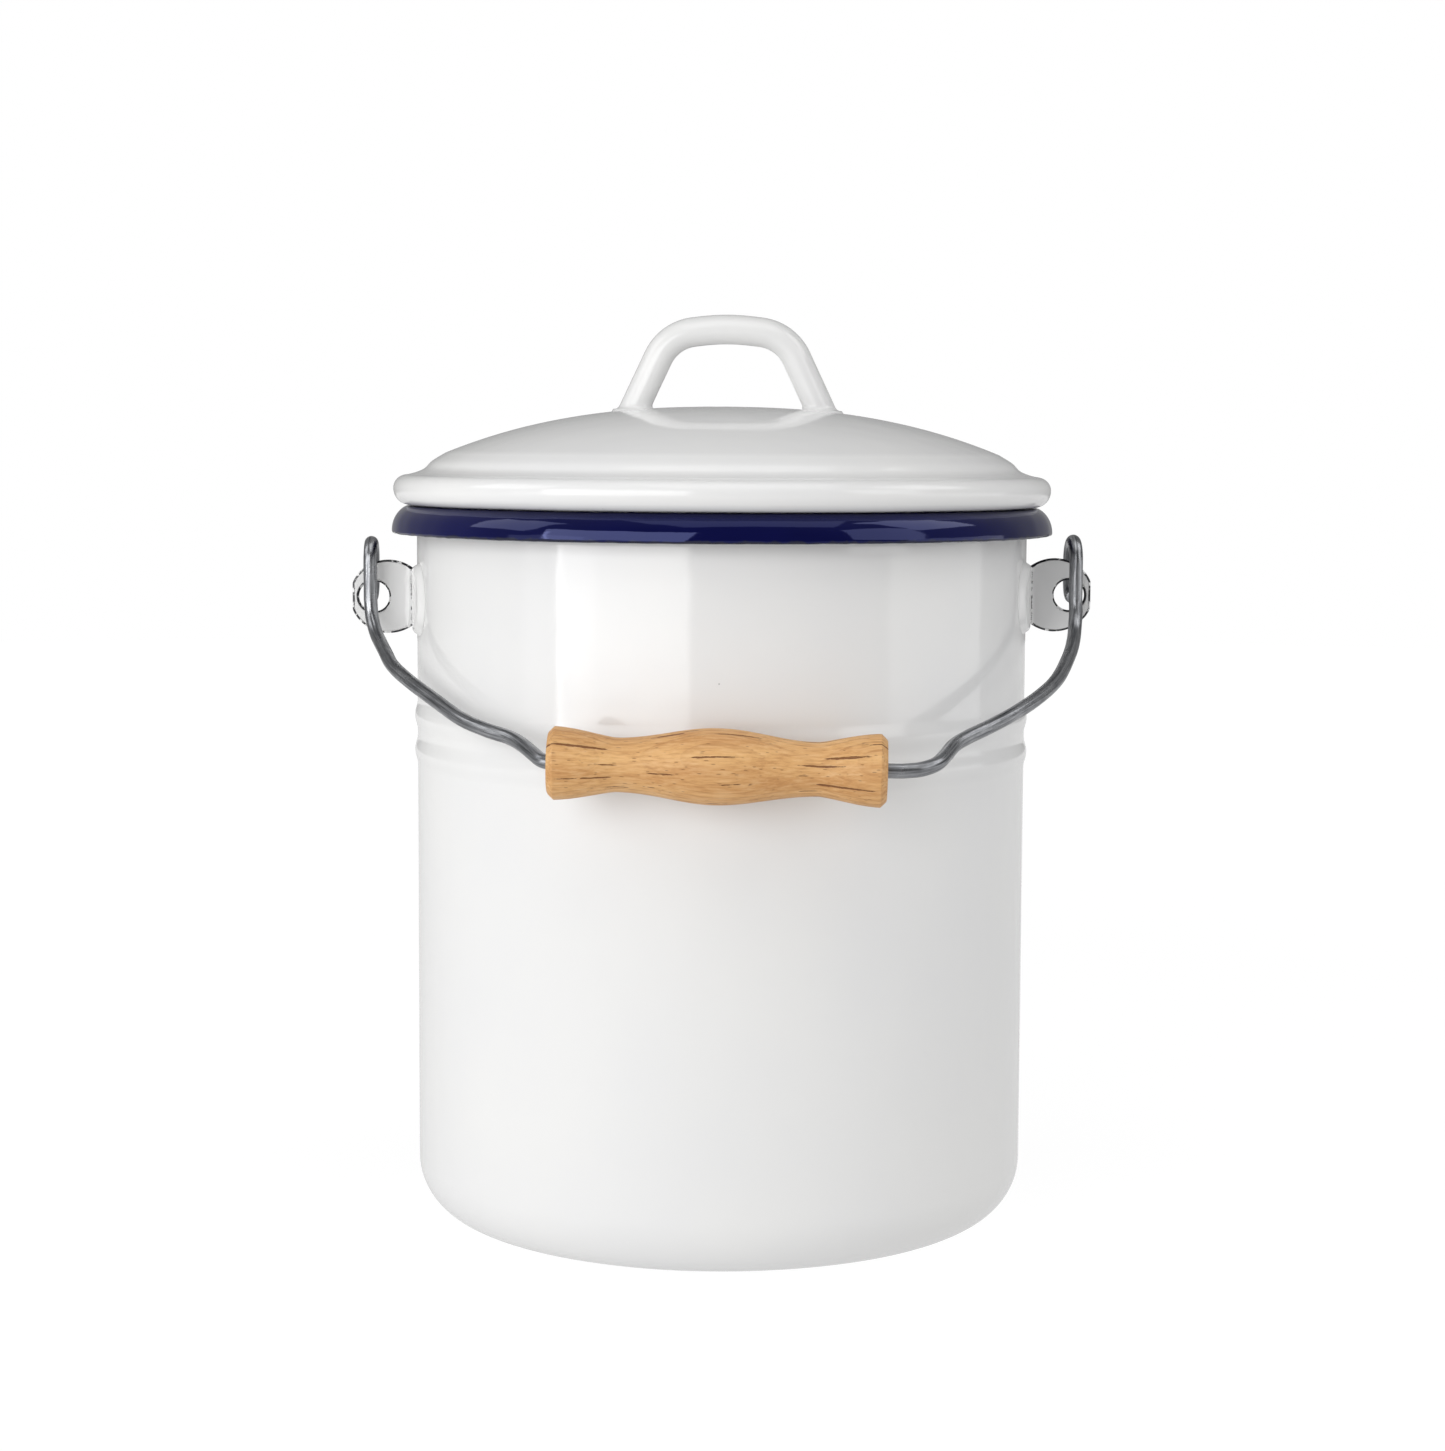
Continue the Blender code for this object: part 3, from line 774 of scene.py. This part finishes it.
def ear_loop(reach, steps):
    """The plate's section along one ray, as (distance, offset, edge) points."""
    half, low, high = EAR_SHEET / 2, EAR_HOLE_RADIUS + EAR_EDGE, reach - EAR_EDGE
    flat = half - EAR_EDGE
    front = [0, EAR_INSET, *((high - low) * step / steps for step in range(1, steps))]
    front = [low + step for step in front] + [high - EAR_INSET]
    loop = [(distance, half, 0) for distance in front]
    loop += [(*point, 1) for point in arc((high, flat), EAR_EDGE, 90, 0, 4)]
    loop += [(*point, 1) for point in arc((high, -flat), EAR_EDGE, 0, -90, 4)]
    loop += [(distance, -half, 0) for distance in reversed(front)]
    loop += [(*point, 1) for point in arc((low, -flat), EAR_EDGE, 270, 180, 4)]
    loop += [(*point, 1) for point in arc((low, flat), EAR_EDGE, 180, 90, 4)]
    return loop


def pad_thinning(x, room):
    """The wall disc is ground thin towards its edge, where the enamel flows over it."""
    if x > BODY_RADIUS - 2 * MM:
        return 1
    ramp = min(max(room / EAR_PAD_RAMP, 0), 1)
    return EAR_PAD_THIN + (1 - EAR_PAD_THIN) * ramp * ramp * (3 - 2 * ramp)


def ear(name, side):
    """One folded ear, built as a ring of sections round its hole, on the side given as 1 or -1."""
    turns = [2 * math.pi * ray / EAR_RAYS for ray in range(EAR_RAYS)]
    reaches = [blank_reach(angle) for angle in turns]
    _, fold_x = fold_start()
    rings, edges = [], []
    for ray, angle in enumerate(turns):
        reach = (reaches[ray - 1] + 2 * reaches[ray] + reaches[(ray + 1) % EAR_RAYS]) / 4
        ring = []
        for distance, offset, edge in ear_loop(reach, EAR_STEPS):
            x = EAR_HOLE_X + distance * math.cos(angle)
            height = distance * math.sin(angle)
            thickness = (offset + EAR_SHEET / 2) * pad_thinning(x, reach - distance)
            sunk = EAR_SEAM * min(max((BODY_RADIUS - x) / (2 * MM), 0), 1)
            spot = folded(x, height, thickness - EAR_SHEET / 2 - sunk)
            ring.append((side * spot[0], spot[1], EAR_Z + side * EAR_LEAN + spot[2]))
            # painted shade line along the fold, stored in the edge attribute at 0.8 beside the burnt
            # edges
            fold_shade = EAR_FOLD_SHADE[0] < fold_x - x < EAR_FOLD_SHADE[1] and offset > 0
            edges.append(max(edge * (x > BODY_RADIUS), 0.8 * fold_shade))
        rings.append(ring)
    plate = skin(name, rings, closed=True)
    if side > 0:
        plate.data.flip_normals()
    paint(plate, "edge", edges)
    return plate


# Bail


def lean(x):
    """How far the wire runs above its plane at x."""
    places = [(at * MM, lift * MM) for at, lift in ARM_LEAN]
    x = min(max(x, places[0][0]), places[-1][0])
    for (start, low), (end, high) in zip(places, places[1:]):
        if x <= end:
            return low + (high - low) * (x - start) / (end - start)


def arm_point(x, along):
    """A point of the bail at x, this far along an arm: down the strand, round the bend, then out."""
    front, start_z = -LOOP_HALF_WIDTH, ARM_START_Z + lean(x)
    if along <= 0:
        return Vector((x, front, start_z - along))
    angle = min(along / ARM_BEND, ARM_TURN)
    y = front - ARM_BEND + ARM_BEND * math.cos(angle)
    z = start_z - ARM_BEND * math.sin(angle)
    run = max(along - ARM_BEND * ARM_TURN, 0)
    return Vector((x, y - run * math.sin(ARM_TURN), z - run * math.cos(ARM_TURN)))


def loop_points(side, front_x):
    """The hooked end, from its tip in the ear's hole, up behind the lug and over to the front."""
    low = (0, LOOP_HALF_WIDTH - LOOP_BELOW)
    high = (0, LOOP_ABOVE - LOOP_HALF_WIDTH)
    outline = straight((-TIP_LENGTH, -LOOP_BELOW), (0, -LOOP_BELOW), 3)
    outline += arc(low, LOOP_HALF_WIDTH, -90, 0, 12)
    outline += straight((LOOP_HALF_WIDTH, low[1]), (LOOP_HALF_WIDTH, high[1]), 5)[1:]
    outline += arc(high, LOOP_HALF_WIDTH, 0, 180, 22)
    outline += straight(outline[-1], (-LOOP_HALF_WIDTH, ARM_START_Z - PIVOT_Z), 8)[1:]
    points = []
    for y, z in outline:
        blend = (LOOP_HALF_WIDTH - y) / (2 * LOOP_HALF_WIDTH) if z >= high[1] else 0
        blend = 1 if y <= -LOOP_HALF_WIDTH * 0.999 else blend
        x = TIP_X[side] + (front_x - TIP_X[side]) * blend
        points.append(Vector((x, y, PIVOT_Z + lean(x) + z)))
    return points


def bail_route():
    """The wire's centre line, from the left tip to the right tip."""
    left_arm = smooth_path([(x * MM, along * MM, 0) for x, along in LEFT_ARM], 10)
    right_arm = smooth_path([(x * MM, along * MM, 0) for x, along in RIGHT_ARM], 10)
    points = loop_points(-1, left_arm[0].x)
    points += [arm_point(point.x, point.y) for point in left_arm]
    grip_run = straight(points[-1], arm_point(right_arm[-1].x, right_arm[-1].y), 12)
    points += [Vector(point) for point in grip_run[1:]]
    points += [arm_point(point.x, point.y) for point in reversed(right_arm)]
    points += reversed(loop_points(1, right_arm[0].x))
    return points


def bail_wire():
    """Wire swept along its route, with rounded ends and the marks of bending by hand."""
    route = bail_route()
    across = Vector((1, 0, 0))
    rings, drawn = [], []
    travelled = 0.0
    for i, spot in enumerate(route):
        along = (route[min(i + 1, len(route) - 1)] - route[max(i - 1, 0)]).normalized()
        across = (across - along * across.dot(along)).normalized()
        other = along.cross(across)
        travelled += (spot - route[i - 1]).length if i else 0
        uneven = 1 + 0.02 * noise.noise(Vector((travelled * 130, 2, 5)))
        start = [(scale, -beyond) for scale, beyond in TIP_ROUNDING] if i == 0 else []
        tail = TIP_ROUNDING[::-1] if i == len(route) - 1 else ()
        for scale, shift in (*start, (1.0, 0.0), *tail):
            ring = []
            for step in range(WIRE_SIDES):
                angle = 2 * math.pi * step / WIRE_SIDES
                radial = across * math.cos(angle) + other * math.sin(angle)
                ring.append(spot + along * shift + radial * WIRE_RADIUS * scale * uneven)
                drawn.append((WIRE_RADIUS * math.cos(angle), WIRE_RADIUS * math.sin(angle),
                              travelled * 0.04))
            rings.append(ring)
    wire = skin("steel_bail", rings)
    paint_vectors(wire, "drawn", drawn)
    return wire


def grip_radius(offset):
    """Radius of the grip's outer side: a bulge, a neck on each side and flared ends."""
    offset = abs(offset)
    if offset < GRIP_NECK_AT:
        blend = 0.5 + 0.5 * math.cos(math.pi * offset / GRIP_NECK_AT)
        return GRIP_NECK + (GRIP_BULGE - GRIP_NECK) * blend
    blend = (offset - GRIP_NECK_AT) / (GRIP_LENGTH / 2 - GRIP_NECK_AT)
    return GRIP_NECK + (GRIP_END - GRIP_NECK) * math.sin(blend * math.pi / 2) ** 1.3


def grip_ripple(x, y, z, radius):
    """Sanding by hand leaves a turned grip a little out of round."""
    dent = noise.noise(Vector((x * 1.4, y * 1.4, z * 60)))
    return (dent * 0.16 * MM if radius > 5 * MM else 0, 0)


def grip_outline():
    """Closed outline of the grip: chamfered ends, waisted side, and a bore wider at its mouths."""
    half = GRIP_LENGTH / 2
    shoulder = half - GRIP_CHAMFER
    face = GRIP_END - GRIP_CHAMFER
    end = [(GRIP_MOUTH + GRIP_MOUTH_EDGE, half), (face - GRIP_ROUNDING, half),
           (face + GRIP_ROUNDING, half - GRIP_ROUNDING),
           (GRIP_END - GRIP_ROUNDING, shoulder + GRIP_ROUNDING)]
    outline = list(end)
    for step in range(97):
        offset = (shoulder - 0.1 * MM) * (1 - step / 48)
        outline.append((grip_radius(offset), offset))
    outline += [(radius, -offset) for radius, offset in reversed(end)]
    throat = half - GRIP_MOUTH_DEPTH
    outline += [(GRIP_MOUTH, -half + GRIP_MOUTH_EDGE), (GRIP_BORE, -throat)]
    return outline + [(GRIP_BORE, throat), (GRIP_MOUTH, half - GRIP_MOUTH_EDGE)]


def bail_grip():
    """The turned grip, set along the wire where the two arms meet it."""
    grip = turned("oak_grip", grip_outline(), sides=128, ripple=grip_ripple)
    grip.data.set_sharp_from_angle(angle=GRIP_SHARP)
    centre = arm_point(*GRIP_CENTRE)
    step = 20 * MM
    ahead = arm_point(GRIP_CENTRE[0] + step, GRIP_CENTRE[1] + step * math.tan(GRIP_TILT))
    along = (ahead - centre).normalized()
    back = Vector((0, 0, 1)).cross(along).normalized()
    up = along.cross(back)
    grip.matrix_world = Matrix.Translation(centre) @ Matrix((back, up, along)).transposed().to_4x4()
    return grip


# Studio


def camera():
    """The viewpoint: 0.9 m from the axis, at the height of the lid and looking slightly down."""
    forward = Vector((math.sin(CAMERA_YAW) * math.cos(CAMERA_PITCH),
                      math.cos(CAMERA_YAW) * math.cos(CAMERA_PITCH), -math.sin(CAMERA_PITCH)))
    level = Vector((math.cos(CAMERA_YAW), -math.sin(CAMERA_YAW), 0))
    above = level.cross(forward)
    right = level * math.cos(CAMERA_ROLL) + above * math.sin(CAMERA_ROLL)
    up = above * math.cos(CAMERA_ROLL) - level * math.sin(CAMERA_ROLL)
    data = bpy.data.cameras.new("camera")
    data.sensor_width = FILM_WIDTH
    data.lens = CAMERA_LENS
    data.clip_start = 0.05
    obj = bpy.data.objects.new("camera", data)
    obj.matrix_world = Matrix((
        (right.x, up.x, -forward.x, CAMERA_PLACE[0]),
        (right.y, up.y, -forward.y, CAMERA_PLACE[1]),
        (right.z, up.z, -forward.z, CAMERA_PLACE[2]),
        (0, 0, 0, 1),
    ))
    bpy.context.scene.collection.objects.link(obj)
    bpy.context.scene.camera = obj


def floor():
    """A pale table that glows a little, so that it stays close to white."""
    bpy.ops.mesh.primitive_circle_add(vertices=128, radius=2.6, fill_type="NGON")
    table = bpy.context.active_object
    table.name = "floor"
    look = Look("pale_floor", Base_Color=(0.12, 0.12, 0.12, 1), Roughness=0.7,
                Emission_Color=(1, 1, 1, 1))
    away = look.add("ShaderNodeVectorMath", {0: look.place()}, operation="LENGTH").outputs["Value"]
    seen = look.span(away, 0.5, 2.4, 0.9, 0.97)
    direct = look.add("ShaderNodeLightPath").outputs["Is Camera Ray"]
    look.set("Emission Strength", look.math("MULTIPLY", seen, look.span(direct, 0, 1, 0.68, 1)))
    table.data.materials.append(look.material)


def surroundings():
    """White where it is looked at, but a dim room in what it sends, dimmest behind the camera."""
    world = bpy.data.worlds.new("studio")
    bpy.context.scene.world = world
    world.use_nodes = True
    tree = world.node_tree
    tree.nodes.clear()
    where = tree.nodes.new("ShaderNodeTexCoord")
    split = tree.nodes.new("ShaderNodeSeparateXYZ")
    tree.links.new(where.outputs["Generated"], split.inputs[0])
    front = tree.nodes.new("ShaderNodeMapRange")
    front.interpolation_type = "SMOOTHSTEP"
    for key, value in zip(("From Min", "From Max", "To Min", "To Max"), (-0.85, -0.3, *ROOM)):
        front.inputs[key].default_value = value
    tree.links.new(split.outputs["Y"], front.inputs["Value"])
    dim = tree.nodes.new("ShaderNodeBackground")
    tree.links.new(front.outputs[0], dim.inputs["Strength"])
    white = tree.nodes.new("ShaderNodeBackground")
    for background in (dim, white):
        background.inputs["Color"].default_value = (1, 1, 1, 1)
    rays = tree.nodes.new("ShaderNodeLightPath")
    blend = tree.nodes.new("ShaderNodeMixShader")
    tree.links.new(rays.outputs["Is Camera Ray"], blend.inputs[0])
    tree.links.new(dim.outputs[0], blend.inputs[1])
    tree.links.new(white.outputs[0], blend.inputs[2])
    out = tree.nodes.new("ShaderNodeOutputWorld")
    tree.links.new(blend.outputs[0], out.inputs[0])


def soft_box(name, azimuth, elevation, distance, size, radiance):
    """A lit panel aimed at the pail; azimuth is measured from the camera's side, towards +X."""
    azimuth, elevation = math.radians(azimuth), math.radians(elevation)
    away = Vector((math.sin(azimuth) * math.cos(elevation),
                   -math.cos(azimuth) * math.cos(elevation), math.sin(elevation)))
    data = bpy.data.lights.new(name, "AREA")
    data.shape = "RECTANGLE"
    data.size, data.size_y = size
    data.energy = radiance * math.pi * size[0] * size[1]
    panel = bpy.data.objects.new(name, data)
    bpy.context.scene.collection.objects.link(panel)
    panel.location = Vector(LIGHTS_AIM) + away * distance
    panel.rotation_euler = away.to_track_quat("Z", "Y").to_euler()
    panel.visible_camera = False


def lights():
    soft_box("key", -36, 12, 1.6, (1.5, 1.1), 3.15)
    soft_box("overhead", 14, 72, 1.6, (1.3, 1.3), 1.0)
    soft_box("fill", 58, 20, 1.8, (0.8, 1.0), 1.6)
    soft_box("upper_left", -86, 36, 1.7, (0.8, 0.8), 1.8)
    soft_box("upper_right", 88, 44, 1.7, (0.8, 0.8), 2.1)
    soft_box("low_left", -60, 3, 1.5, (0.8, 0.4), 0.8)
    soft_box("narrow_strip", -60, 6, 1.5, (0.05, 0.8), 3.5)
    soft_box("right_panel", 86, 1, 1.5, (1.3, 0.3), 1.0)


def main():
    white = white_enamel()
    stand_for(body_shell(), "body_shell", "can", white)
    stand_for(rolled_rim(), "rolled_rim", "can", blue_enamel())
    edged = edged_enamel()
    stand_for(ear("left_lug", -1), "ear_left", "can", edged)
    stand_for(ear("right_lug", 1), "ear_right", "can", edged)
    stand_for(lid_shell(), "lid_shell", "lid", white)
    stand_for(lid_collar(), "lid_collar", "lid", white)
    stand_for(lid_handle(), "lid_handle", "lid", white)
    stand_for(bail_wire(), "bail_wire", "bail", wire_steel())
    stand_for(bail_grip(), "bail_grip", "grip", grip_wood())
    camera()
    floor()
    surroundings()
    lights()
    bpy.context.scene.view_settings.view_transform = "Standard"


main()
